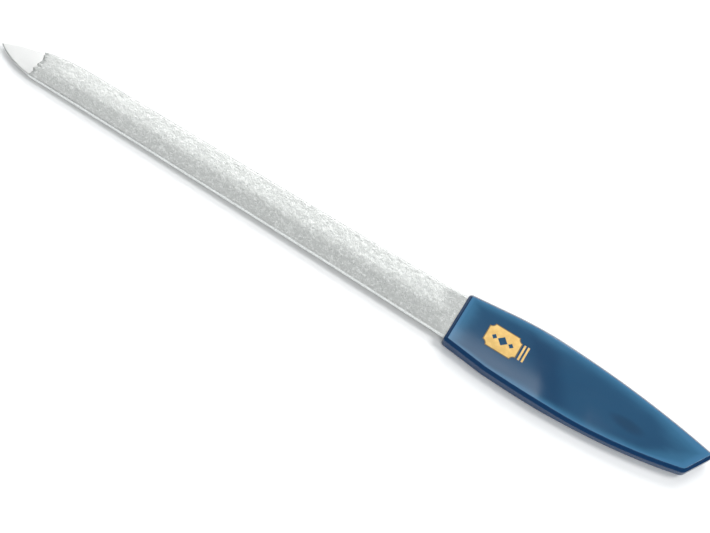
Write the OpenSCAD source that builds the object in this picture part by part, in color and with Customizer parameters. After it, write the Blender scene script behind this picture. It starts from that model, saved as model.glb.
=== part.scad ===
// Nail file: a slim steel blade with mineral grit bonded to both of its faces, and a handle
// that is moulded round the blade's tang. X runs from the point to the butt, Y across, Z up.
// The origin is under the middle of the whole file, on the flat of the handle's underside.

/* [Overall] */
// Length from the point to the far corner of the butt
overall_l = 180; // [170:1:190]
// Height of the mid-plane, which holds the blade and the middle of the handle's walls
mid_z = 1.7; // [1.55:0.05:1.85]

/* [Blade] */
// Free length of the blade, from the point to the handle's front edge
blade_l = 117; // [112:0.1:122]
// Width of the blade where it enters the handle, grit included
root_w = 11.5; // [10.5:0.1:12]
// Width of the blade behind the point, grit included
neck_w = 8.9; // [8:0.1:9.6]
// Thickness of the steel along its centre line
blade_t = 1.25; // [1.1:0.05:1.5]
// Thickness of the steel at the point
point_t = 0.5; // [0.4:0.05:0.7]
// Length over which the blade thins down to the point
thin_l = 20; // [15:1:30]
// Radius of the lens-shaped faces across the blade
face_r = 57; // [45:1:90]

/* [Point] */
// Offset of the point from the centre line, towards the near edge
point_y = -0.76; // [-1.2:0.02:-0.4]
// Radius of the rounded point
point_r = 0.3; // [0.2:0.05:0.4]
// Length of the short curve on the near edge, which ends at the point
near_curve_l = 10.5; // [9:0.5:13]
// Length of the long curve on the far edge, which ends at the point
far_curve_l = 20; // [16:1:26]

/* [Tang] */
// Length of full-width blade inside the handle, up to the shoulders
shoulder_l = 3.5; // [2.5:0.5:5]
// Length of the tang behind the shoulders
tang_l = 37; // [30:1:40]
// Width of the tang
tang_w = 6.5; // [5.5:0.5:7.5]
// Thickness of the tang
tang_t = 1; // [0.8:0.1:1]
// Diameter of the two locking holes in the tang
lock_d = 3; // [2:0.5:3.5]
// Distance from the shoulders to the first locking hole
lock_start = 8.5; // [6:0.5:10]
// Distance between the locking holes
lock_pitch = 16; // [12:1:18]

/* [Grit] */
// Thickness of the bonded grit
grit_t = 0.12; // [0.08:0.01:0.2]
// Distance from the point to the nearest place of the grit's ragged border
grit_start = 8.3; // [7.5:0.1:10]
// Length of grit that runs on inside the handle
grit_inside = 1; // [0.5:0.1:2]

/* [Handle] */
// Half width of the far half of the handle's front edge
far_front_w = 6.4; // [6.1:0.1:6.9]
// Half width of the near half of the handle's front edge
near_front_w = 6.9; // [6.4:0.1:7.2]
// Radius of the front corners in plan
front_r = 0.8; // [0.6:0.1:1.2]
// Length of the straight flanks behind the front edge
flank_l = 10.7; // [9:0.1:13]
// Half width where the far flank turns into its curve
far_flank_w = 7.75; // [7.5:0.05:8]
// Half width where the near flank turns into its curve
near_flank_w = 8.15; // [7.9:0.05:8.4]
// Pull of the far curve where it leaves the flank, back and outwards
far_pull_front = [19, 2.4]; // [0:0.1:24]
// Pull of the far curve where it meets the butt, forwards and outwards
far_pull_back = [8, 1.8]; // [0:0.1:16]
// Pull of the near curve where it leaves the flank, back and outwards
near_pull_front = [12.7, 0.5]; // [0:0.1:24]
// Pull of the near curve where it meets the butt, forwards and outwards
near_pull_back = [19, 5.5]; // [0:0.1:24]
// Half width of the far edge at the butt
far_butt_w = 3.8; // [3.4:0.1:4.4]
// Half width of the near edge at the butt
near_butt_w = 3.6; // [3.2:0.1:4.2]
// How much further the far corner of the butt reaches than the near corner
butt_slant = 4.5; // [3:0.1:6]
// Thickness of the handle's edge in front, bevels included
wall_h = 3.3; // [3:0.1:3.6]
// Thickness of the handle's edge behind the step, bevels included
butt_wall_h = 2.6; // [2.4:0.1:2.8]
// Distance from the front edge to the crest, where both faces start to fall to the thinner part
crest_l = 22; // [18:1:28]
// Length of the ramp between the thick and the thin part
ramp_l = 10; // [8:1:14]
// Radius of the crown across the handle
crown_r = 150; // [120:10:250]
// Width and depth of the bevels that run round both faces
edge_bevel = 0.7; // [0.5:0.05:0.8]

/* [Foil badge] */
// Length of the foil panel
badge_l = 8.2; // [7:0.1:9]
// Width of the foil panel
badge_w = 6; // [5:0.1:7]
// Distance from the front edge to the middle of the panel
badge_place = 11.2; // [9:0.1:13]
// Radius of the scooped corners of the panel
badge_scoop = 1; // [0.6:0.1:1.4]
// Width of the two bars beside the panel
badge_bar = 0.45; // [0.3:0.05:0.6]
// Depth of the foil in the handle's face
foil_t = 0.08; // [0.05:0.01:0.15]

/* [Hidden] */

point_x = -overall_l / 2;
front_x = point_x + blade_l;
handle_l = overall_l - blade_l;
shoulder_x = front_x + shoulder_l;
crest_x = front_x + crest_l;
face_fall = (wall_h - butt_wall_h) / 2;
ramp_angle = atan(face_fall / ramp_l);
crown_drop = crown_r - sqrt(crown_r * crown_r - pow(near_flank_w, 2));
top_z = mid_z + wall_h / 2 + crown_drop;
badge_x = front_x + badge_place;

// Half widths of the bare steel, so that steel and grit together have the stated width
root_half = root_w / 2 - grit_t;
neck_half = neck_w / 2 - grit_t;

// How the half width grows from the neck to the root
width_power = 1.5;
// The two edge curves meet this far before the rounded point, in point radii
apex_lead = 0.8;
// Small turn that leaves room for the rounded point at the end of each edge curve
nose_turn = 1.2;
// Room that cutting and enclosing shapes take beyond what they cut or enclose
room = 5;
// How far the planes of the bevels run on, outwards and down past the walls
bevel_reach = 2;
// Steps in a small corner, in an edge curve by the point and in a long side curve
corner_steps = 6;
edge_steps = 16;
side_steps = 24;
// Spacing of the points along the blade's nearly straight edges
edge_pitch = 12;
// Ragged border of the grit by the point: distance behind grit_start, and Y, from far to near
grit_border = [
    [0.4, 8], [0.4, 3], [0.8, 2.2], [1.2, 1.1], [1.3, 0.5], [0.5, 0], [0.2, -0.9], [0, -8]
];

// Points on an arc round centre c, from angle a0 to a1 in n steps
function arc(c, r, a0, a1, n) =
    [for (i = [0 : n]) let (a = a0 + (a1 - a0) * i / n) c + r * [cos(a), sin(a)]];

// Points on a cubic curve with end points p0 and p3, in n steps, without its first point
function curve(p0, p1, p2, p3, n) =
    [for (i = [1 : n])
        let (t = i / n, k = 1 - t)
        k * k * k * p0 + 3 * k * k * t * p1 + 3 * k * t * t * p2 + t * t * t * p3];

// Radius of an arc that is level at one end and has climbed rise over the length run
function arc_radius(run, rise) = (run * run + rise * rise) / (2 * rise);

// Half width of the steel at distance s from the point, behind the short curve
function half_width(s) =
    neck_half
    + (root_half - neck_half)
        * pow(max(0, s - near_curve_l) / (blade_l - near_curve_l), width_power);

// Edges of the steel at distance s from the point, grown outwards by grow
near_run = near_curve_l + apex_lead * point_r;
near_r = arc_radius(near_run, neck_half + point_y);
far_run = far_curve_l + apex_lead * point_r;
far_r = arc_radius(far_run, half_width(far_curve_l) - point_y);
near_centre = [near_curve_l, near_r - neck_half];
far_centre = [far_curve_l, half_width(far_curve_l) - far_r];
near_swing = asin(near_run / near_r);
far_swing = asin(far_run / far_r);

// Plan outline of the blade up to distance end, as distances from the point: the rounded point,
// the near curve, the near edge, the end, the far edge and the far curve
function blade_outline(end, grow) = concat(
    arc([point_r, point_y], point_r + grow, 90 + far_swing, 270 - near_swing, corner_steps),
    arc(near_centre, near_r + grow, 270 - near_swing + 2 * nose_turn, 270, edge_steps),
    [for (s = [far_curve_l : edge_pitch : end - edge_pitch / 2]) [s, -half_width(s) - grow]],
    [[end, -half_width(end) - grow], [end, half_width(end) + grow]],
    [for (s = [end - edge_pitch : -edge_pitch : far_curve_l + edge_pitch / 2])
        [s, half_width(s) + grow]],
    arc(far_centre, far_r + grow, 90, 90 + far_swing - nose_turn, edge_steps)
);

// Round block up to distance end whose crown is one lens face, above or below the mid-plane
module lens_block(end, grow, side) {
    translate([point_x - room, 0, mid_z + side * (blade_t / 2 - face_r)])
        rotate([0, 90, 0])
            cylinder(r = face_r + grow, h = end + 2 * room, $fn = 720);
}

// Wedge up to distance end that thins the blade down to its point
module point_wedge(end, grow) {
    slope = (blade_t - point_t) / 2 / thin_l;
    thin_z = point_t / 2 + grow - slope * room;
    thick_z = point_t / 2 + grow + slope * (end + room);
    translate([point_x, root_w, mid_z])
        rotate([90, 0, 0])
            linear_extrude(2 * root_w)
                polygon([
                    [-room, -thin_z],
                    [end + room, -thick_z],
                    [end + room, thick_z],
                    [-room, thin_z]
                ]);
}

// Blade solid up to distance end, grown by grow: plan outline, lens faces and thinned point
module blade_form(end, grow) {
    intersection() {
        translate([point_x, 0, mid_z - room])
            linear_extrude(2 * room)
                polygon(blade_outline(end, grow));
        lens_block(end, grow, 1);
        lens_block(end, grow, -1);
        point_wedge(end, grow);
    }
}

// Tang behind the shoulders, with its locking holes; it starts inside the full-width blade
module tang() {
    difference() {
        translate([shoulder_x - shoulder_l / 2, -tang_w / 2, mid_z - tang_t / 2])
            cube([tang_l + shoulder_l / 2, tang_w, tang_t]);
        for (i = [0, 1])
            translate([shoulder_x + lock_start + i * lock_pitch, 0, mid_z - tang_t])
                cylinder(d = lock_d, h = 2 * tang_t, $fn = 96);
    }
}

module blade() {
    color("gainsboro") {
        blade_form(blade_l + shoulder_l, 0);
        tang();
    }
}

// Region of the blade that carries grit, with its ragged border near the point
module grit_region() {
    end = blade_l + grit_inside;
    translate([point_x, 0, 0])
        linear_extrude(2 * mid_z)
            polygon(concat(
                [for (p = grit_border) [grit_start + p[0], p[1]]],
                [[end, -root_w], [end, root_w]]
            ));
}

// Grit on one face, from the middle of the blade's edges over the whole face
module grit_coat(face) {
    color("whitesmoke")
        difference() {
            intersection() {
                blade_form(blade_l + shoulder_l, grit_t);
                grit_region();
                translate([point_x, -root_w, face > 0 ? mid_z : mid_z - room])
                    cube([overall_l, 2 * root_w, room]);
            }
            blade_form(blade_l + shoulder_l, 0);
        }
}

module upper_grit_coat() {
    grit_coat(1);
}

module lower_grit_coat() {
    grit_coat(-1);
}

// Long round block whose top line passes through height z over the crest, falling by tilt degrees
module crowned_block(z, tilt) {
    reach = handle_l + room;
    translate([crest_x, 0, z])
        rotate([0, tilt, 0])
            translate([-reach, 0, -crown_r])
                rotate([0, 90, 0])
                    cylinder(r = crown_r, h = 2 * reach, $fn = 720);
}

// Point i of a closed outline moved inwards by d, along the mitre of its two edges
function mitred(o, i, d) =
    let (
        n = len(o),
        a = o[i] - o[(i + n - 1) % n],
        b = o[(i + 1) % n] - o[i],
        na = [-a[1], a[0]] / norm(a),
        nb = [-b[1], b[0]] / norm(b)
    )
    o[i] + d * (na + nb) / (1 + na * nb);

// The handle's outline moved inwards by d on all sides
function inset_outline(d) =
    let (o = handle_outline())
    [for (i = [0 : len(o) - 1]) mitred(o, i, d)];

// Everything below one bevelled and crowned face, drop under the top and falling by tilt degrees
module bevelled_block(drop, tilt) {
    edge_z = mid_z + wall_h / 2 - edge_bevel;
    rise = edge_bevel + crown_drop;
    intersection() {
        crowned_block(top_z - drop, tilt);
        translate([crest_x, 0, edge_z - drop])
            rotate([0, tilt, 0])
                translate([front_x - crest_x, 0, 0])
                    hull() {
                        translate([0, 0, -2 * room])
                            linear_extrude(2 * room - bevel_reach)
                                polygon(inset_outline(-bevel_reach));
                        linear_extrude(rise)
                            polygon(inset_outline(rise));
                    }
    }
}

// Everything below the upper face: thick in front, then a ramp, then the thin part
module below_face() {
    intersection() {
        bevelled_block(0, 0);
        union() {
            bevelled_block(0, ramp_angle);
            bevelled_block(face_fall, 0);
        }
    }
}

// Plan outline of the handle at its walls, as distances behind the front edge: the far and
// near front corners, the near side up to the slanted butt, and the far side back to the front
function handle_outline() =
    let (
        near_flank = [flank_l, -near_flank_w],
        far_flank = [flank_l, far_flank_w],
        near_butt = [handle_l - butt_slant, -near_butt_w],
        far_butt = [handle_l, far_butt_w]
    )
    concat(
        arc([front_r, far_front_w - front_r], front_r, 90, 180, corner_steps),
        arc([front_r, front_r - near_front_w], front_r, 180, 270, corner_steps),
        [near_flank],
        curve(near_flank, near_flank + [near_pull_front[0], -near_pull_front[1]],
            near_butt - near_pull_back, near_butt, side_steps),
        [far_butt],
        curve(far_butt, far_butt + [-far_pull_back[0], far_pull_back[1]],
            far_flank + far_pull_front, far_flank, side_steps)
    );

// Handle without its cavity: walls, bevelled and crowned faces, and a flat on the underside
module handle_form() {
    intersection() {
        translate([front_x, 0, 0])
            linear_extrude(2 * top_z)
                polygon(handle_outline());
        below_face();
        translate([0, 0, 2 * mid_z])
            mirror([0, 0, 1])
                below_face();
    }
}

module handle() {
    color("steelblue")
        difference() {
            handle_form();
            blade();
            upper_grit_coat();
            lower_grit_coat();
            foil_badge();
        }
}

// Plan of the foil: a panel with scooped corners and cut-out diamonds, and two bars beside it
module badge_plan() {
    difference() {
        translate([-badge_l / 2, -badge_w / 2])
            square([badge_l, badge_w]);
        for (x = [-1, 1], y = [-1, 1])
            translate([x * badge_l / 2, y * badge_w / 2])
                circle(r = badge_scoop, $fn = 64);
        circle(r = badge_w / 5, $fn = 4);
        for (x = [-1, 1])
            translate([x * badge_l / 4, 0])
                circle(r = badge_w / 9, $fn = 4);
    }
    for (i = [1, 2])
        translate([badge_l / 2 + (2 * i - 1) * badge_bar, -badge_w / 2 + badge_scoop])
            square([badge_bar, badge_w - 2 * badge_scoop]);
}

module foil_badge() {
    color("burlywood")
        difference() {
            intersection() {
                crowned_block(top_z, 0);
                translate([badge_x, 0, mid_z])
                    linear_extrude(wall_h)
                        badge_plan();
            }
            crowned_block(top_z - foil_t, 0);
        }
}

blade();
upper_grit_coat();
lower_grit_coat();
handle();
foil_badge();
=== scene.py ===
"""Nail file: a steel blade with bonded grit and a moulded, clouded blue handle with a foil badge.

Lengths are millimetres in the part's frame (X from the point to the butt, Y across, Z up) and become
metres when a mesh is made. "Near" is the -Y side, which faces the camera, and "far" the +Y side.
"""

import math

import bmesh
import bpy
import numpy as np
from mathutils import Matrix, Vector


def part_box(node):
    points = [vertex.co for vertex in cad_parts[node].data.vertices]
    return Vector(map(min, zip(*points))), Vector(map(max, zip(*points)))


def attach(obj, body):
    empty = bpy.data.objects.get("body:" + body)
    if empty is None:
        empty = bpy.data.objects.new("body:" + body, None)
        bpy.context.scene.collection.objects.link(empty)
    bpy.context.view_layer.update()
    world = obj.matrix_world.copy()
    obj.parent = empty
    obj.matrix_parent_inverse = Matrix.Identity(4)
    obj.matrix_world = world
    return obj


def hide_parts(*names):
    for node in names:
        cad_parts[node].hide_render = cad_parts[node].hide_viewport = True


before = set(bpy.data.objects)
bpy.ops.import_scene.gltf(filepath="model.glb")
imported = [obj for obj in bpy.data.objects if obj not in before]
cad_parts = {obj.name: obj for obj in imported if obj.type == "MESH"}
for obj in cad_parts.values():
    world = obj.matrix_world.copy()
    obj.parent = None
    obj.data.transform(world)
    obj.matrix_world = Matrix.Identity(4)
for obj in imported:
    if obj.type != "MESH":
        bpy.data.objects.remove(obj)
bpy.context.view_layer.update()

MM = 0.001

# Places taken from the frame
blade_lo, blade_hi = (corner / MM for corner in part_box("blade"))
handle_lo, handle_hi = (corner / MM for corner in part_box("handle"))
POINT_X = blade_lo.x
FRONT_X = handle_lo.x
BUTT_X = handle_hi.x
MID_Z = (blade_lo.z + blade_hi.z) / 2
BLADE_L = FRONT_X - POINT_X
HANDLE_L = BUTT_X - FRONT_X

# Blade: outline, thickness and tang as in the construction model
ROOT_HALF = 5.63
NECK_HALF = 4.33
WIDTH_POWER = 1.5
NEAR_CURVE_L = 10.5
FAR_CURVE_L = 20.0
POINT_Y = -0.76
POINT_R = 0.3
APEX_LEAD = 0.8
BLADE_T = 1.25
POINT_T = 0.5
THIN_L = 20.0
SHOULDER_L = 3.5
TANG_L = 37.0
TANG_W = 6.5
TANG_T = 1.0
LOCK_R = 1.5
LOCK_PLACES = (8.5, 24.5)
EDGE_ROUND = 0.25
# An edge round takes at most this share of the blade's half width
ROUND_SHARE = 0.6
# The rounded point is drawn up to this share of its radius, where the edges' curves take over
NOSE_SHARE = 0.45
# Mesh rows follow the rounding this far round, in degrees
NOSE_TURN = 50.0
# Each face is two flanks that lean by RIDGE_SLOPE and meet in a ridge rounded over RIDGE_SOFT
RIDGE_SLOPE = 0.07
RIDGE_SOFT = 1.25
# The ridge lies this far towards the near edge
RIDGE_SHIFT = 0.9
# Distances from the point at which the ridge starts and has grown to its full height
RIDGE_START = 3.0
RIDGE_FULL = 18.0
# Length over which the ridge runs out before the handle, and how far that place leans across
RUN_OUT = 4.0
RUN_OUT_LEAN = 0.22
# Mesh rows: close together as far as FINE_L from the point, and sparse on the straight length
FINE_START = 0.16
FINE_L = 24.0
FINE_PITCH = 0.2
PLAIN_PITCH = 1.5
FACE_COLUMNS = 36
ROUND_COLUMNS = 6

# Grit
GRIT_T = 0.12
GRIT_START = 8.3
GRIT_INSIDE = 0.6
GRIT_PITCH = 0.19
GRIT_ROUND_COLUMNS = 4
# Border near the point: how far behind GRIT_START it lies at places across the blade, from near
# to far, and how ragged it is; each layer of its noise has a row of the table and a pitch
BORDER_Y = (-5, -3.2, -2.2, -1.0, 0.2, 1.2, 2.4, 3.2, 8)
BORDER_S = (0.55, 0.7, 0.8, 1.3, 1.3, 0.95, 0.85, 0.3, 0.0)
BORDER_RAGGED = 0.7
BORDER_NOISE = ((3.3, 0.7), (7.1, 0.32))
# The coat thins out over LIP_L at its border, where it sinks by LIP_SINK
LIP_L = 0.8
LIP_SINK = 0.1
# Depth of the coat's hidden side in the steel
COAT_BURIED = 0.06
# Its mesh keeps every sixth row and every fifth column of the outer one
INNER_ROW_STEP = 6
INNER_COLUMN_STEP = 5
# Relief: broad swells, leaning clumps and single grains
SWELL_PITCH, SWELL_H = 1.1, 0.02
CLUMP_PITCH, CLUMP_H = 0.62, 0.02
GRAIN_PITCH, GRAIN_H = 0.3, 0.032
# How unlike in height neighbouring grains are, as a share of GRAIN_H, and the shift of their mean
GRAIN_STEP = 0.45
GRAIN_SINK = 0.2

# Handle
FAR_FRONT_W = 6.4
NEAR_FRONT_W = 6.9
FRONT_R = 0.9
NEAR_BUTT_R = 1.8
FAR_BUTT_R = 1.0
FLANK_L = 10.7
FAR_FLANK_W = 7.75
NEAR_FLANK_W = 8.15
FAR_PULLS = ((19.0, 2.4), (8.0, 1.8))
NEAR_PULLS = ((12.7, 0.5), (19.0, 5.25))
FAR_BUTT_W = 3.8
NEAR_BUTT_W = 3.8
BUTT_SLANT = 4.5
WALL_H = 3.3
BUTT_WALL_H = 2.6
CREST_L = 22.0
RAMP_L = 10.0
RAMP_SOFT = 1.5
RAMP_LEAN = 0.3
CROWN_R = 150.0
EDGE_BEVEL = 0.7
BEVEL_ROUND = 0.12
FACE_PITCH = 0.4
WALL_PITCH = 0.4
SIDE_STEPS = 100
# Painted light: width of the lighter band along the near side, where light gathering in the clear
# plastic is painted as a glow at the rim, and what the other stretches add to it
MARGIN = 0.6
MARGIN_FAR = 0.9
MARGIN_FRONT = 1.9
MARGIN_REAR = 0.6
MARGIN_BUTT = 3.4
# Where the last two set in and are full, behind the front and before the butt
MARGIN_REAR_SPAN = (12, 22)
MARGIN_BUTT_SPAN = (16, 2)
# A soft band of painted shade runs slantwise across the ramp, where the panel's reflection on the face
# ends, and a painted dark reflection lies behind it
SHADE_BAND_PLACE = 22.5
SHADE_BAND_LEAN = 0.7
SHADE_BAND_HALF = 6.0
DARK_REFLECTION_PLACE = 43.0
DARK_REFLECTION_Y = -1.3
DARK_REFLECTION_L = 4.5
DARK_REFLECTION_W = 1.62
FOIL_RISE = 0.015
TOP_Z = handle_hi.z - FOIL_RISE

# Badge
BADGE_L = 8.2
BADGE_W = 6.0
BADGE_PLACE = 11.2
BADGE_SCOOP = 1.0
BADGE_BAR = 0.45
FOIL_DEPTH = 0.04
FOIL_PITCH = 0.5


def arc(centre, radius, start, end, steps):
    """Points round a centre from one angle to another, in degrees."""
    angles = np.radians(np.linspace(start, end, steps + 1))
    return np.array(centre) + radius * np.stack([np.cos(angles), np.sin(angles)], axis=1)


def cubic(p0, p1, p2, p3, steps):
    """Points on a cubic curve, both ends included."""
    t = np.linspace(0, 1, steps + 1)[:, None]
    k = 1 - t
    return k**3 * p0 + 3 * k * k * t * p1 + 3 * k * t * t * p2 + t**3 * p3


def arc_radius(run, rise):
    """Radius of an arc that is level at one end and has climbed rise over the length run."""
    return (run * run + rise * rise) / (2 * rise)


def smoothstep(low, high, value):
    t = np.clip((value - low) / (high - low), 0, 1)
    return t * t * (3 - 2 * t)


# Noise on a plane, the same on each run

def random_table(seed, channels):
    return np.random.default_rng(seed).random((256, 256, channels))


def grains(a, b, pitch, table):
    """Cells of about one pitch: distance to the nearest grain, to the next one, and the nearest
    grain's random values and offset."""
    ia, ib = np.floor(a / pitch).astype(int), np.floor(b / pitch).astype(int)
    best = np.full(a.shape, 9.0)
    second = np.full(a.shape, 9.0)
    values = np.zeros(a.shape + (table.shape[2],))
    offset = np.zeros(a.shape + (2,))
    for da in (-1, 0, 1):
        for db in (-1, 0, 1):
            cell = table[(ia + da) % 256, (ib + db) % 256]
            off_a = a / pitch - (ia + da + cell[..., 0])
            off_b = b / pitch - (ib + db + cell[..., 1])
            gap = np.hypot(off_a, off_b)
            nearer = gap < best
            second = np.where(nearer, best, np.minimum(second, gap))
            best = np.where(nearer, gap, best)
            values[nearer] = cell[nearer]
            offset[nearer] = np.stack([off_a, off_b], axis=-1)[nearer]
    return best, second, values, offset


def clouds(a, b, pitch, table):
    """Smooth value noise between 0 and 1."""
    fa, fb = a / pitch, b / pitch
    ia, ib = np.floor(fa).astype(int), np.floor(fb).astype(int)
    ta, tb = smoothstep(0, 1, fa - ia), smoothstep(0, 1, fb - ib)
    v = table[..., 0]
    low = v[ia % 256, ib % 256] * (1 - ta) + v[(ia + 1) % 256, ib % 256] * ta
    high = v[ia % 256, (ib + 1) % 256] * (1 - ta) + v[(ia + 1) % 256, (ib + 1) % 256] * ta
    return low * (1 - tb) + high * tb


# Meshes

def add_object(name, points, faces, material, smooth=True):
    """An object from points in millimetres, riding on the file's one body."""
    mesh = bpy.data.meshes.new(name)
    mesh.from_pydata((np.asarray(points) * MM).tolist(), [], faces)
    mesh.validate()
    if smooth:
        mesh.shade_smooth()
    mesh.materials.append(material)
    piece = bpy.data.objects.new(name, mesh)
    bpy.context.scene.collection.objects.link(piece)
    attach(piece, "root")
    return piece


def grid_faces(rows, columns, first=0, closed=False):
    """Quads over a grid of points stored row by row; closed joins the last column to the first."""
    spans = columns if closed else columns - 1
    faces = []
    for r in range(rows - 1):
        base = first + r * columns
        for c in range(spans):
            d = (c + 1) % columns
            faces.append((base + c, base + d, base + columns + d, base + columns + c))
    return faces


def fill_loops(bm, loops, z):
    """Adds closed loops of plan points at height z and fills the area between them."""
    edges = []
    for loop in loops:
        ring = [bm.verts.new((p[0], p[1], z)) for p in loop]
        edges += [bm.edges.new((ring[i - 1], ring[i])) for i in range(len(ring))]
    bmesh.ops.triangle_fill(bm, use_beauty=True, edges=edges)


def extrude_faces(bm):
    """Extrudes all faces as one region and returns the new points."""
    lifted = bmesh.ops.extrude_face_region(bm, geom=bm.faces[:])
    return [g for g in lifted["geom"] if isinstance(g, bmesh.types.BMVert)]


def take_mesh(bm, first=0):
    """Points and outward faces of a closed mesh, with the point numbers counted from first."""
    bmesh.ops.recalc_face_normals(bm, faces=bm.faces[:])
    bm.verts.index_update()
    points = [tuple(v.co) for v in bm.verts]
    faces = [tuple(first + v.index for v in f.verts) for f in bm.faces]
    bm.free()
    return points, faces


# Blade form

def half_width(s):
    """Half width of the steel at distance s from the point, behind the short curve."""
    share = np.maximum(0, s - NEAR_CURVE_L) / (BLADE_L - NEAR_CURVE_L)
    return NECK_HALF + (ROOT_HALF - NECK_HALF) * share**WIDTH_POWER


near_run = NEAR_CURVE_L + APEX_LEAD * POINT_R
near_r = arc_radius(near_run, NECK_HALF + POINT_Y)
far_run = FAR_CURVE_L + APEX_LEAD * POINT_R
far_r = arc_radius(far_run, half_width(FAR_CURVE_L) - POINT_Y)


def blade_edges(s):
    """Y of the steel's near and far edge at distance s from the point."""
    near_drop = near_r - np.sqrt(near_r**2 - np.clip(NEAR_CURVE_L - s, 0, near_run) ** 2)
    far_drop = far_r - np.sqrt(far_r**2 - np.clip(FAR_CURVE_L - s, 0, far_run) ** 2)
    near = -half_width(s) + near_drop
    far = half_width(np.maximum(s, FAR_CURVE_L)) - far_drop
    nose = np.sqrt(np.clip(POINT_R**2 - (np.minimum(s, POINT_R) - POINT_R) ** 2, 0, None))
    in_nose = s < POINT_R * NOSE_SHARE
    return np.where(in_nose, POINT_Y - nose, near), np.where(in_nose, POINT_Y + nose, far)


def blade_section(s, q, turn, grow):
    """Y and height over the mid-plane on the upper face. q runs from -1 to 1 between the edge
    rounds, and turn from 0 to 1 down a round."""
    near, far = blade_edges(s)
    middle, half = (near + far) / 2, (far - near) / 2 + grow
    round_y = np.minimum(EDGE_ROUND + grow, half * ROUND_SHARE)
    out = q * (half - round_y)
    run_out = smoothstep(0, RUN_OUT, BLADE_L - s - RUN_OUT_LEAN * (out + half))
    slope = RIDGE_SLOPE * run_out
    drop = slope * (np.sqrt((out + RIDGE_SHIFT) ** 2 + RIDGE_SOFT**2) - RIDGE_SOFT)
    thick = np.minimum(BLADE_T / 2, POINT_T / 2 + s * (BLADE_T - POINT_T) / 2 / THIN_L)
    height = thick - drop * smoothstep(RIDGE_START, RIDGE_FULL, s) + grow
    angle = turn * math.pi / 2
    y = middle + out + np.sign(q) * round_y * np.sin(angle)
    return y, height * np.cos(angle)


def section_columns(top_steps, round_steps):
    """q and turn of the columns from the near mid-edge over the upper face to the far one."""
    rounds = np.linspace(1, 0, round_steps + 1)[:-1]
    q = np.concatenate([-np.ones(round_steps), np.linspace(-1, 1, top_steps + 1), np.ones(round_steps)])
    turn = np.concatenate([rounds, np.zeros(top_steps + 1), rounds[::-1]])
    return q, turn


def tang_shell(first):
    """Points and faces of the tang's plate with its two locking holes, from the shoulders back."""
    bm = bmesh.new()
    x0 = POINT_X + BLADE_L + SHOULDER_L
    x1, side = x0 + TANG_L, TANG_W / 2
    corners = [(x0, -side), (x1, -side), (x1, side), (x0, side)]
    holes = [arc((x0 + place, 0), LOCK_R, 0, 360, 40)[:-1] for place in LOCK_PLACES]
    fill_loops(bm, [corners] + holes, MID_Z - TANG_T / 2)
    bmesh.ops.translate(bm, verts=extrude_faces(bm), vec=(0, 0, TANG_T))
    return take_mesh(bm, first)


def make_blade(material):
    """The blade as a closed skin, with the tang's plate behind its shoulders."""
    nose = POINT_R * (1 - np.cos(np.linspace(0, math.radians(NOSE_TURN), 7)))
    s = np.concatenate([nose, np.arange(FINE_START, FINE_L, FINE_PITCH),
                        np.arange(FINE_L, BLADE_L, PLAIN_PITCH), [BLADE_L, BLADE_L + SHOULDER_L]])
    s = s[:, None]
    q, turn = section_columns(FACE_COLUMNS, ROUND_COLUMNS)
    y, up = blade_section(s, q[None, :], turn[None, :], 0.0)
    x = np.broadcast_to(POINT_X + s, y.shape)
    upper = np.stack([x, y, MID_Z + up], axis=-1)
    lower = np.stack([x, y, MID_Z - up], axis=-1)[:, ::-1][:, 1:-1]
    rings = np.concatenate([upper, lower], axis=1)
    rows, columns = rings.shape[:2]
    points = rings.reshape(-1, 3).tolist()
    faces = [f[::-1] for f in grid_faces(rows, columns, closed=True)]
    faces.append(tuple(range(columns)))
    faces.append(tuple(range((rows - 1) * columns, rows * columns))[::-1])
    tang_points, tang_faces = tang_shell(len(points))
    piece = add_object("steel_blade", points + tang_points, faces + tang_faces, material)
    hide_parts("blade")
    return piece


# Grit coats

def grit_border(y, table):
    """Distance from the point at which the grit starts, across the blade."""
    ragged = sum(clouds(y * 0 + row, y, pitch, table) for row, pitch in BORDER_NOISE)
    return GRIT_START + np.interp(y, BORDER_Y, BORDER_S) + BORDER_RAGGED * (ragged - 1.0)


def grit_height(a, b, tables):
    """Height of the grit over its mean surface, from clumps down to single grains."""
    _, _, coarse, tilt = grains(a, b, CLUMP_PITCH, tables[0])
    near, following, fine, off = grains(a, b, GRAIN_PITCH, tables[1])
    swell = clouds(a, b, SWELL_PITCH, tables[2]) - 0.5
    lean = (coarse[..., 2] - 0.5) * tilt[..., 0] + (coarse[..., 3] - 0.5) * tilt[..., 1]
    facet = (fine[..., 2] - 0.5) * off[..., 0] + (fine[..., 3] - 0.5) * off[..., 1]
    seam = smoothstep(0, 0.3, following - near)
    grain = facet + GRAIN_STEP * fine[..., 2] * seam - GRAIN_SINK
    return SWELL_H * swell + CLUMP_H * lean + GRAIN_H * grain


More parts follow.
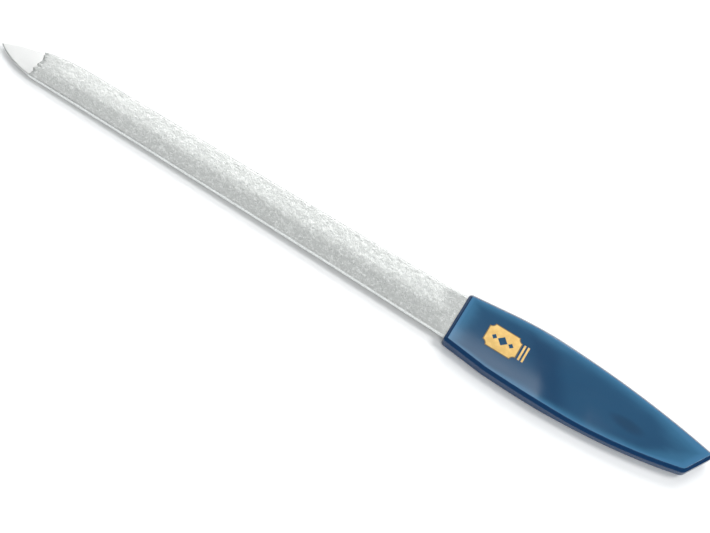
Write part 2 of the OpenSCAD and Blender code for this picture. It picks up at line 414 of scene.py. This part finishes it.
def make_grit_coat(name, node, side, seed, material):
    """Grit on the upper (side 1) or lower (side -1) face, closed underneath where it meets steel."""
    tables = [random_table(seed + i, 4) for i in range(4)]
    q, turn = section_columns(int(2 * NECK_HALF / GRIT_PITCH), GRIT_ROUND_COLUMNS)
    rows = int((BLADE_L - GRIT_START) / GRIT_PITCH)
    share = np.linspace(0, 1, rows + 1)[:, None]
    end = BLADE_L + GRIT_INSIDE
    start = GRIT_START + share * 0 + q * 0
    # The border depends on the blade's width there, which depends on the border: two rounds settle it
    for _ in range(2):
        y, _ = blade_section(start, q, turn, GRIT_T)
        start = grit_border(y[:1], tables[3]) + start * 0
    s = start + (end - start) * share
    y, up = blade_section(s, q, turn, GRIT_T)
    surface = np.stack([s, y, up], axis=-1)
    along = np.gradient(surface, axis=0)
    across = np.gradient(surface, axis=1)
    normal = np.cross(along, across)
    normal /= np.linalg.norm(normal, axis=-1, keepdims=True)
    girth = np.cumsum(np.linalg.norm(across, axis=-1), axis=1)
    lift = grit_height(s, girth, tables)
    # The border by the point thins out, and the seam at mid-edge stays on the mid-plane
    lip = smoothstep(0, LIP_L, s - start)
    seam = smoothstep(0, 0.6, 1 - turn)
    outer = surface + normal * (lift * lip * seam - LIP_SINK * (1 - lip))[..., None]
    inner_y, inner_up = blade_section(s, q, turn, -COAT_BURIED)
    inner = np.stack([s, inner_y, inner_up], axis=-1)[::INNER_ROW_STEP, ::INNER_COLUMN_STEP]
    piece = close_coat(name, node, side, outer, inner, material)
    set_shares(piece, "behind_border", s - start + 0 * lift)
    # The near edge's round carries a painted highlight
    set_shares(piece, "near_round", turn * (q < 0) + 0 * lift)
    return piece


def set_shares(piece, name, values):
    """Stores one number a point under a name that a material reads; points left over keep zero."""
    shares = np.zeros(len(piece.data.vertices))
    shares[:values.size] = values.ravel()
    piece.data.attributes.new(name, "FLOAT", "POINT").data.foreach_set("value", shares)


def stitch(long_row, short_row):
    """Triangles between two rows of point numbers that run the same way with unlike counts."""
    faces, i, j = [], 0, 0
    while i < len(long_row) - 1 or j < len(short_row) - 1:
        ahead_i = (i + 1) / (len(long_row) - 1)
        ahead_j = (j + 1) / (len(short_row) - 1)
        if j == len(short_row) - 1 or (i < len(long_row) - 1 and ahead_i <= ahead_j):
            faces.append((long_row[i], long_row[i + 1], short_row[j]))
            i += 1
        else:
            faces.append((long_row[i], short_row[j + 1], short_row[j]))
            j += 1
    return faces


def border_loop(rows, columns, first):
    """The four border rows of a grid, each as a list of point numbers, in one turning sense."""
    grid = first + np.arange(rows * columns).reshape(rows, columns)
    return [grid[0].tolist(), grid[:, -1].tolist(), grid[-1, ::-1].tolist(), grid[::-1, 0].tolist()]


def close_coat(name, node, side, outer, inner, material):
    """Joins a dense outer sheet and a plain inner one into one closed coat."""
    rows, columns = outer.shape[:2]
    inner_rows, inner_columns = inner.shape[:2]
    first = rows * columns
    points = np.concatenate([outer.reshape(-1, 3), inner.reshape(-1, 3)])
    points = points * (1, 1, side) + (POINT_X, 0, MID_Z)
    faces = [f[::-1] for f in grid_faces(rows, columns)]
    faces += grid_faces(inner_rows, inner_columns, first)
    outer_border = border_loop(rows, columns, 0)
    inner_border = border_loop(inner_rows, inner_columns, first)
    for long_row, short_row in zip(outer_border, inner_border):
        faces += stitch(long_row, short_row)
    if side < 0:
        faces = [f[::-1] for f in faces]
    piece = add_object(name, points, faces, material)
    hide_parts(node)
    return piece


# Handle form

def fillet(corner, way_in, way_out, radius, steps):
    """Arc that rounds a left-hand corner between two directions."""
    turn = math.atan2(way_in[0] * way_out[1] - way_in[1] * way_out[0], float(np.dot(way_in, way_out)))
    start = np.array(corner) - np.array(way_in) * radius * math.tan(turn / 2)
    centre = start + radius * np.array([-way_in[1], way_in[0]])
    first = math.degrees(math.atan2(*(start - centre)[::-1]))
    return arc(centre, radius, first, first + math.degrees(turn), steps)


def unit(v):
    v = np.array(v, dtype=float)
    return v / np.linalg.norm(v)


def handle_outline():
    """Closed outline of the walls, anticlockwise from above, and its outward normals."""
    far_front, near_front = np.array([0, FAR_FRONT_W]), np.array([0, -NEAR_FRONT_W])
    near_flank, far_flank = np.array([FLANK_L, -NEAR_FLANK_W]), np.array([FLANK_L, FAR_FLANK_W])
    near_butt = np.array([HANDLE_L - BUTT_SLANT, -NEAR_BUTT_W])
    far_butt = np.array([HANDLE_L, FAR_BUTT_W])
    (near_a, near_b), (far_a, far_b) = NEAR_PULLS, FAR_PULLS
    near_side = cubic(near_flank, near_flank + (near_a[0], -near_a[1]),
                      near_butt - near_b, near_butt, SIDE_STEPS)
    far_side = cubic(far_butt, far_butt + (-far_b[0], far_b[1]),
                     far_flank + far_a, far_flank, SIDE_STEPS)
    down, butt_way = np.array([0, -1.0]), unit(far_butt - near_butt)
    butt_near = fillet(near_butt, unit(near_side[-1] - near_side[-2]), butt_way, NEAR_BUTT_R, 10)
    butt_far = fillet(far_butt, butt_way, unit(far_side[1] - far_side[0]), FAR_BUTT_R, 14)
    loop = np.concatenate([
        fillet(far_front, unit(far_front - far_flank), down, FRONT_R, 10),
        fillet(near_front, down, unit(near_flank - near_front), FRONT_R, 10),
        near_side[near_side[:, 0] < butt_near[0, 0] - 0.1],
        butt_near,
        butt_far,
        far_side[far_side[:, 0] < butt_far[-1, 0] - 0.1],
    ])
    points = []
    for here, there in zip(loop, np.roll(loop, -1, axis=0)):
        steps = max(1, math.ceil(np.linalg.norm(there - here) / WALL_PITCH))
        points += [here + (there - here) * i / steps for i in range(steps)]
    points = np.array(points)
    way = np.roll(points, -1, axis=0) - np.roll(points, 1, axis=0)
    normals = np.stack([way[:, 1], -way[:, 0]], axis=1)
    normals /= np.linalg.norm(normals, axis=1, keepdims=True)
    return points, normals


def face_fall(x, y):
    """How far each face has come down behind its crest, which leans a little across the handle."""
    along = x + RAMP_LEAN * y
    share = smoothstep(CREST_L - RAMP_SOFT, CREST_L + RAMP_L + RAMP_SOFT, along)
    return (WALL_H - BUTT_WALL_H) / 2 * share


def handle_top(x, y):
    """Height of the upper face: crowned across, level, then a soft ramp, then level again."""
    x, y = np.asarray(x), np.asarray(y)
    return TOP_Z - (CROWN_R - np.sqrt(CROWN_R**2 - y**2)) - face_fall(x, y)


def handle_under(x, y):
    """Height of the lower face: the upper one turned over, cut by the flat it rests on."""
    return np.maximum(2 * MID_Z - handle_top(x, y), 0)


def edge_rings(outline, normals):
    """Plan and height over the mid-plane of the rings from mid-wall over the bevel to the face."""
    plan = outline - normals * EDGE_BEVEL
    wall = handle_top(plan[:, 0], plan[:, 1]) - MID_Z - EDGE_BEVEL
    turn_in = BEVEL_ROUND * math.tan(math.pi / 8)
    rings = [(outline, wall * 0), (outline, wall * 0.5)]
    for angle in np.radians(np.linspace(0, 45, 4)):
        plan = outline - normals * BEVEL_ROUND * (1 - math.cos(angle))
        rings.append((plan, wall - turn_in + BEVEL_ROUND * math.sin(angle)))
    for angle in np.radians(np.linspace(45, 90, 5)):
        inset = EDGE_BEVEL + turn_in - BEVEL_ROUND * math.cos(angle)
        plan = outline - normals * inset
        top = handle_top(plan[:, 0], plan[:, 1]) - MID_Z
        rings.append((plan, top - BEVEL_ROUND * (1 - math.sin(angle))))
    return rings


def fill_face(bm, ring, pitch, height):
    """Fills a ring with a fine grid of faces that follow a height function."""
    edges = [bm.edges.get((ring[i - 1], ring[i])) for i in range(len(ring))]
    filled = bmesh.ops.triangle_fill(bm, use_beauty=True, edges=edges)
    faces = [g for g in filled["geom"] if isinstance(g, bmesh.types.BMFace)]
    known = set(bm.verts)
    for axis, low, high in ((0, FRONT_X, BUTT_X), (1, handle_lo.y, handle_hi.y)):
        for place in np.arange(low + pitch / 2, high, pitch):
            line = Vector((1, 0, 0) if axis == 0 else (0, 1, 0))
            parts = {e for f in faces for e in f.edges} | {v for f in faces for v in f.verts}
            cut = bmesh.ops.bisect_plane(bm, geom=faces + list(parts), dist=1e-4,
                                         plane_co=line * float(place), plane_no=line)
            faces = [g for g in cut["geom"] if isinstance(g, bmesh.types.BMFace)]
    for v in set(bm.verts) - known:
        v.co.z = float(height(v.co.x - FRONT_X, v.co.y))
    for face in faces:
        face.smooth = True


def painted_rim_glow(x, y, outline, normals):
    """Painted light gathering at the rim: 1 at the handle's rim, fading inwards: wide at the butt,
    slimmer in front and far, slim near.
    """
    reach = MARGIN + MARGIN_FAR * smoothstep(0.2, 0.8, normals[:, 1])
    reach += MARGIN_FRONT * smoothstep(0.6, 0.95, -normals[:, 0])
    reach += MARGIN_REAR * smoothstep(*MARGIN_REAR_SPAN, outline[:, 0])
    butt_from, butt_full = MARGIN_BUTT_SPAN
    reach += MARGIN_BUTT * smoothstep(HANDLE_L - butt_from, HANDLE_L - butt_full, outline[:, 0])
    margins = []
    for px, py in zip(x, y):
        gap = np.hypot(px - outline[:, 0], py - outline[:, 1]) - EDGE_BEVEL
        margins.append(np.exp(-(np.maximum(gap, 0) / reach).min() ** 1.5))
    return np.array(margins)


def make_handle(material):
    """Walls and bevels as rings, closed by a fine grid over each face."""
    outline, normals = handle_outline()
    rings = edge_rings(outline, normals)
    upper = [np.column_stack([plan[:, 0] + FRONT_X, plan[:, 1], MID_Z + up]) for plan, up in rings]
    lower = [np.column_stack([plan[:, 0] + FRONT_X, plan[:, 1], np.maximum(MID_Z - up, 0)])
             for plan, up in rings[1:]]
    stack = lower[::-1] + upper
    count = len(outline)
    faces = grid_faces(len(stack), count, closed=True)
    bm = bmesh.new()
    verts = [bm.verts.new(p) for p in np.concatenate(stack)]
    for face in faces:
        bm.faces.new([verts[i] for i in face]).smooth = True
    fill_face(bm, verts[-count:], FACE_PITCH, handle_top)
    fill_face(bm, verts[:count], 2 * FACE_PITCH, handle_under)
    points, faces = take_mesh(bm)
    points = np.array(points)
    piece = add_object("clouded_handle", points, faces, material)
    # Painted light: how strongly each point glows at the rim
    set_shares(piece, "rim_glow", painted_rim_glow(points[:, 0] - FRONT_X, points[:, 1], outline, normals))
    # The walls and bevels get painted shade
    set_shares(piece, "wall", np.repeat([0] + [1] * (len(stack) - 2) + [0], count))
    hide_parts("handle")
    return piece


# Badge form

def badge_loops():
    """Loops of the foil round the panel's middle: the panel, its diamonds and the two bars."""
    hl, hw, scoop = BADGE_L / 2, BADGE_W / 2, BADGE_SCOOP
    panel = np.concatenate([
        arc((hl, hw), scoop, 270, 180, 10), arc((-hl, hw), scoop, 0, -90, 10),
        arc((-hl, -hw), scoop, 90, 0, 10), arc((hl, -hw), scoop, 180, 90, 10)])
    diamonds = [arc((x, 0), r, 0, 360, 4)[:-1]
                for x, r in ((0, BADGE_W / 5), (-BADGE_L / 4, BADGE_W / 9), (BADGE_L / 4, BADGE_W / 9))]
    bars = []
    for i in (1, 2):
        x0 = hl + (2 * i - 1) * BADGE_BAR
        y0 = hw - scoop
        bars.append(np.array([(x0, -y0), (x0 + BADGE_BAR, -y0), (x0 + BADGE_BAR, y0), (x0, y0)]))
    return [[panel] + diamonds] + [[bar] for bar in bars]


def make_badge(material):
    """The foil, cut into a fine grid so that it can follow the handle's crowned face."""
    bm = bmesh.new()
    for loops in badge_loops():
        fill_loops(bm, loops, 0)
    for line, reach in ((Vector((1, 0, 0)), BADGE_L), (Vector((0, 1, 0)), BADGE_W)):
        for place in np.arange(-reach, reach, FOIL_PITCH):
            bmesh.ops.bisect_plane(bm, geom=bm.verts[:] + bm.edges[:] + bm.faces[:],
                                   plane_co=line * float(place), plane_no=line, dist=1e-5)
    raised = set(extrude_faces(bm))
    for v in bm.verts:
        rise = FOIL_RISE if v in raised else -FOIL_DEPTH
        x = BADGE_PLACE + v.co.x
        v.co = (FRONT_X + x, v.co.y, float(handle_top(x, v.co.y)) + rise)
    points, faces = take_mesh(bm)
    piece = add_object("gold_foil", points, faces, material, smooth=False)
    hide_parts("foil_badge")
    return piece


# Materials: colours are linear

STEEL_TONES = ((0.63, 0.63, 0.62, 1), (0.68, 0.68, 0.67, 1))
GRIT_TONES = ((0.355, 0.364, 0.353, 1), (0.582, 0.590, 0.578, 1))
GRIT_MEAN = (0.418, 0.426, 0.415, 1)
# Painted highlight: lighter, beaded tones on the near edge's round only, where that edge catches the
# light
NEAR_EDGE_HIGHLIGHT_TONES = ((0.72, 0.74, 0.72, 1), (0.92, 0.94, 0.92, 1))
# Painted shade along the grit's border by the point, where the coat's step shades the steel
BORDER_SHADE = (0.16, 0.17, 0.16, 1)
BLUE_CLEAR = (0.0175, 0.069, 0.141, 1)
# Darker blue: the plastic's own clouding, and painted shade in a slanted band
BLUE_CLOUDING_AND_SHADE = (0.0115, 0.049, 0.110, 1)
# Painted dark reflection
BLUE_DARK_REFLECTION = (0.0145, 0.048, 0.098, 1)
# Painted light: the glow at the handle's rim, lighter still right at the edge
BLUE_LIT = (0.036, 0.130, 0.235, 1)
BLUE_RIM = (0.050, 0.160, 0.290, 1)
# Painted shade on the walls and bevels
BLUE_WALL_SHADE = (0.003, 0.033, 0.100, 1)
GOLD_TONES = ((0.60, 0.385, 0.125, 1), (0.70, 0.475, 0.175, 1))
# Painted shadow round the badge's rim
GOLD_RIM_SHADOW = (0.060, 0.045, 0.030, 1)
FLOOR_TONES = ((0.90, 0.90, 0.90, 1), (0.92, 0.92, 0.92, 1))
STUDIO_COLOUR = (0.82, 0.94, 1.0, 1)
STUDIO_STRENGTH = 0.18


class Shader:
    """A node material that is built by short calls."""

    def __init__(self, name):
        self.material = bpy.data.materials.new(name)
        self.material.use_nodes = True
        self.tree = self.material.node_tree
        self.surface = self.tree.nodes["Principled BSDF"]

    def add(self, kind, output=0, settings=(), **inputs):
        """Adds a node and returns one of its outputs; inputs are numbers, colours or outputs."""
        node = self.tree.nodes.new("ShaderNode" + kind)
        for name, value in dict(settings).items():
            setattr(node, name, value)
        for name, value in inputs.items():
            key = int(name[1:]) if name[1:].isdigit() else name.replace("_", " ")
            self.feed(node.inputs[key], value)
        return node.outputs[output]

    def feed(self, socket, value):
        if isinstance(value, bpy.types.NodeSocket):
            self.tree.links.new(value, socket)
        else:
            socket.default_value = value

    def set(self, **inputs):
        for name, value in inputs.items():
            self.feed(self.surface.inputs[name.replace("_", " ")], value)

    def math(self, operation, a, b=0.0):
        return self.add("Math", settings={"operation": operation}, i0=a, i1=b)

    def mix(self, factor, a, b):
        return self.add("Mix", output=2, settings={"data_type": "RGBA"}, i0=factor, i6=a, i7=b)

    def ramp(self, value, low, high, to_low=0.0, to_high=1.0):
        return self.add("MapRange", settings={"interpolation_type": "SMOOTHSTEP"}, Value=value,
                        From_Min=low, From_Max=high, To_Min=to_low, To_Max=to_high)

    def noise(self, place, scale, detail=2.0, rough=0.5):
        return self.add("TexNoise", Vector=place, Scale=scale, Detail=detail, Roughness=rough)

    def bump(self, height, strength, distance):
        return self.add("Bump", Strength=strength, Distance=distance * MM, Height=height)

    def position(self):
        return self.add("TexCoord", output=3)

    def plan(self, place):
        """X and Y of a place."""
        return [self.add("SeparateXYZ", output=i, Vector=place) for i in range(2)]

    def shares(self, name):
        return self.add("Attribute", output=2, settings={"attribute_name": name})

    def stretched(self, place, x, y, z):
        return self.add("Mapping", Vector=place, Scale=(x, y, z))


def steel_material():
    sh = Shader("polished_steel")
    place = sh.position()
    brushed = sh.noise(sh.stretched(place, 0.06, 1, 1), 9000, 3)
    stain = sh.noise(place, 260, 3)
    sh.set(Metallic=1.0)
    sh.set(Base_Color=sh.mix(stain, *STEEL_TONES))
    sh.set(Roughness=sh.ramp(brushed, 0.3, 0.7, 0.30, 0.38))
    sh.set(Normal=sh.bump(brushed, 0.25, 0.01))
    return sh.material


def grit_material():
    sh = Shader("bonded_grit")
    place = sh.position()
    cells = sh.tree.nodes.new("ShaderNodeTexVoronoi")
    sh.feed(cells.inputs["Vector"], place)
    cells.inputs["Scale"].default_value = 4200
    shade = sh.add("SeparateColor", Color=cells.outputs["Color"])
    fine = sh.noise(place, 5200, 3)
    blotch = sh.noise(place, 900, 3, 0.6)
    pale = sh.mix(shade, *GRIT_TONES)
    tone = sh.mix(sh.ramp(blotch, 0.35, 0.65), GRIT_MEAN, pale)
    # Painted highlight on the near edge's round, with less metal there
    edge = sh.ramp(sh.shares("near_round"), 0.15, 0.6)
    edge_highlight = sh.mix(edge, tone, sh.mix(shade, *NEAR_EDGE_HIGHLIGHT_TONES))
    # Painted shade in patches along the border by the point
    rim = sh.math("ADD", sh.shares("behind_border"), sh.ramp(fine, 0.3, 0.7, -0.1, 0.3))
    patches = sh.ramp(blotch, 0.44, 0.66, 0.0, 0.38)
    dark = sh.math("MULTIPLY", sh.ramp(rim, 0.1, 0.4, 1.0, 0.0), patches)
    sh.set(Base_Color=sh.mix(dark, edge_highlight, BORDER_SHADE))
    sh.set(Metallic=sh.math("MULTIPLY", sh.math("SUBTRACT", 1.0, edge), 0.8))
    sh.set(Roughness=sh.ramp(shade, 0.0, 1.0, 0.28, 0.42))
    height = sh.math("ADD", sh.math("MULTIPLY", cells.outputs["Distance"], 0.6), fine)
    sh.set(Normal=sh.bump(height, 0.3, 0.04))
    return sh.material


def plastic_material():
    sh = Shader("clouded_blue_plastic")
    place = sh.position()
    x, y = sh.plan(place)
    rim_glow = sh.shares("rim_glow")
    wisps = sh.noise(sh.stretched(place, 0.45, 1, 1), 160, 4, 0.6)
    blobs = sh.noise(sh.stretched(place, 0.5, 1, 1), 75, 2)
    # Painted shade: a soft band slanting across the ramp, where the panel's reflection ends; the blobs
    # are the plastic's own clouding
    slant = sh.math("ADD", x, sh.math("MULTIPLY", y, SHADE_BAND_LEAN))
    off = sh.math("ABSOLUTE", sh.math("SUBTRACT", slant, (FRONT_X + SHADE_BAND_PLACE) * MM))
    shade_band = sh.ramp(off, 0.0, SHADE_BAND_HALF * MM, 1.0, 0.0)
    clouding_and_shade = sh.math("ADD", sh.math("MULTIPLY", shade_band, 0.9), sh.ramp(blobs, 0.42, 0.68, 0.0, 0.35))
    # Painted dark reflection: an oval patch behind the band
    along = sh.math("DIVIDE", sh.math("SUBTRACT", x, (FRONT_X + DARK_REFLECTION_PLACE) * MM), DARK_REFLECTION_L * MM)
    across = sh.math("DIVIDE", sh.math("SUBTRACT", y, DARK_REFLECTION_Y * MM), DARK_REFLECTION_W * MM)
    dark_reflection = sh.math("ADD", sh.math("POWER", along, 2.0), sh.math("POWER", across, 2.0))
    dark_reflection = sh.ramp(sh.math("ADD", dark_reflection, wisps), 0.4, 1.7, 0.8, 0.0)
    clear = sh.mix(clouding_and_shade, BLUE_CLEAR, BLUE_CLOUDING_AND_SHADE)
    deep = sh.mix(dark_reflection, clear, BLUE_DARK_REFLECTION)
    # Painted light: glow at the handle's rim
    glow = sh.math("ADD", rim_glow, sh.math("MULTIPLY", sh.math("SUBTRACT", wisps, 0.5), 0.6))
    lit = sh.mix(sh.ramp(rim_glow, 0.75, 1.0), BLUE_LIT, BLUE_RIM)
    face = sh.mix(sh.ramp(glow, 0.05, 0.9), deep, lit)
    # Painted shade darkens the walls and bevels
    sh.set(Base_Color=sh.mix(sh.ramp(sh.shares("wall"), 0.0, 0.6), face, BLUE_WALL_SHADE))
    sh.set(Roughness=sh.ramp(wisps, 0.3, 0.7, 0.10, 0.15))
    sh.surface.inputs["IOR"].default_value = 1.5
    ripple = sh.noise(place, 90, 2)
    sh.set(Normal=sh.bump(ripple, 0.12, 0.04))
    return sh.material


def foil_material():
    sh = Shader("gold_foil")
    place = sh.position()
    grain = sh.noise(place, 3500, 3)
    wear = sh.noise(place, 700, 3)
    gold = sh.mix(sh.ramp(wear, 0.35, 0.7), *GOLD_TONES)
    x, y = sh.plan(place)
    behind = sh.math("SUBTRACT", x, (FRONT_X + BADGE_PLACE) * MM)
    from_end = sh.math("SUBTRACT", BADGE_L / 2 * MM, sh.math("ABSOLUTE", behind))
    from_side = sh.math("SUBTRACT", BADGE_W / 2 * MM, sh.math("ABSOLUTE", y))
    squares = sh.math("ADD", sh.math("POWER", from_end, 2.0), sh.math("POWER", from_side, 2.0))
    from_scoop = sh.math("SUBTRACT", sh.math("SQRT", squares), BADGE_SCOOP * MM)
    from_rim = sh.math("MINIMUM", sh.math("MINIMUM", from_end, from_side), from_scoop)
    # Painted shadow in a thin band inside the panel's rim, not on the bars
    rim = sh.math("MULTIPLY", sh.ramp(from_rim, 0.12 * MM, 0.3 * MM, 0.85, 0.0),
                  sh.math("LESS_THAN", behind, BADGE_L / 2 * MM))
    sh.set(Base_Color=sh.mix(rim, gold, GOLD_RIM_SHADOW))
    sh.set(Metallic=0.6)
    sh.set(Roughness=sh.ramp(grain, 0.3, 0.7, 0.35, 0.5))
    sh.set(Normal=sh.bump(grain, 0.3, 0.01))
    return sh.material


def floor_material():
    sh = Shader("pale_floor")
    tone = sh.noise(sh.position(), 8, 2)
    sh.set(Base_Color=sh.mix(tone, *FLOOR_TONES))
    sh.set(Roughness=0.6)
    return sh.material


# Camera, floor and lights

CAMERA_PLACE = (27.878, -182.417, 316.768)
CAMERA_AZIMUTH = 8.0
CAMERA_ELEVATION = 60.0
CAMERA_ROLL = 24.584
CAMERA_LENS = 85.0
# The table leans towards the point, by half of the angle at which the point would touch it
REST_TILT = math.atan((MID_Z - POINT_T / 2) / BLADE_L) / 2
# Floor and lights, in metres
FLOOR_HALF = 3.0
PANEL_DISTANCE = 1.2
OVERHEAD_Z = 1.18


def aim(azimuth, elevation, roll=0.0):
    """Rotation that looks back along the given direction, as the frame's views count it."""
    a, e = math.radians(azimuth), math.radians(elevation)
    back = Vector((math.sin(a) * math.cos(e), -math.cos(a) * math.cos(e), math.sin(e)))
    right = Vector((0, 0, 1)).cross(back).normalized()
    up = back.cross(right)
    turn = Matrix((right, up, back)).transposed()
    return turn @ Matrix.Rotation(math.radians(roll), 3, "Z"), back


def make_camera():
    data = bpy.data.cameras.new("camera")
    data.lens = CAMERA_LENS
    data.sensor_width = 36
    data.clip_start, data.clip_end = 0.01, 20
    camera = bpy.data.objects.new("camera", data)
    turn, _ = aim(CAMERA_AZIMUTH, CAMERA_ELEVATION, CAMERA_ROLL)
    camera.matrix_world = Matrix.Translation(Vector(CAMERA_PLACE) * MM) @ turn.to_4x4()
    bpy.context.scene.collection.objects.link(camera)
    bpy.context.scene.camera = camera


def make_floor(material):
    mesh = bpy.data.meshes.new("floor")
    corners = [(x * FLOOR_HALF, y * FLOOR_HALF, 0) for x, y in ((-1, -1), (1, -1), (1, 1), (-1, 1))]
    mesh.from_pydata(corners, [], [(0, 1, 2, 3)])
    mesh.materials.append(material)
    floor = bpy.data.objects.new("floor", mesh)
    hinge = Vector((FRONT_X * MM, 0, 0))
    floor.matrix_world = Matrix.Translation(hinge) @ Matrix.Rotation(REST_TILT, 4, "Y")
    bpy.context.scene.collection.objects.link(floor)


def make_panel(name, azimuth, elevation, size, power):
    """A soft panel that looks at the file's middle; its size is in metres."""
    data = bpy.data.lights.new(name, "AREA")
    data.shape = "RECTANGLE"
    data.size, data.size_y = size
    data.energy = power
    light = bpy.data.objects.new(name, data)
    turn, back = aim(azimuth, elevation)
    light.matrix_world = Matrix.Translation(back * PANEL_DISTANCE) @ turn.to_4x4()
    bpy.context.scene.collection.objects.link(light)


def make_overhead(name, low, high, density):
    """A level panel that faces down, between two corners in plan in metres; watts a square metre."""
    data = bpy.data.lights.new(name, "AREA")
    data.shape = "RECTANGLE"
    data.size, data.size_y = high[0] - low[0], high[1] - low[1]
    data.energy = density * data.size * data.size_y
    light = bpy.data.objects.new(name, data)
    light.location = ((low[0] + high[0]) / 2, (low[1] + high[1]) / 2, OVERHEAD_Z)
    bpy.context.scene.collection.objects.link(light)


def make_lights():
    make_panel("far_panel", 186, 37, (1.3, 0.48), 9.8)
    make_panel("near_panel", 20, 58, (1.0, 0.5), 6.0)
    make_panel("low_panel", 0, 9, (1.6, 0.25), 3.6)
    make_panel("side_panel", 118, 50, (0.4, 0.4), 6.0)
    make_overhead("blade_panel", (-1.10, 0.0), (-0.08, 0.63), 3.35)
    make_overhead("tip_panel", (-1.10, 0.63), (-0.46, 0.90), 2.0)
    make_overhead("crest_panel", (-0.04, 0.42), (0.16, 0.61), 8.5)
    world = bpy.data.worlds.new("studio")
    world.use_nodes = True
    background = world.node_tree.nodes["Background"]
    background.inputs["Color"].default_value = STUDIO_COLOUR
    background.inputs["Strength"].default_value = STUDIO_STRENGTH
    bpy.context.scene.world = world


scene = bpy.context.scene
scene.view_settings.view_transform = "Standard"

make_camera()
grit = grit_material()
make_blade(steel_material())
make_grit_coat("upper_grit", "upper_grit_coat", 1, 11, grit)
make_grit_coat("lower_grit", "lower_grit_coat", -1, 23, grit)
make_handle(plastic_material())
make_badge(foil_material())
make_floor(floor_material())
make_lights()
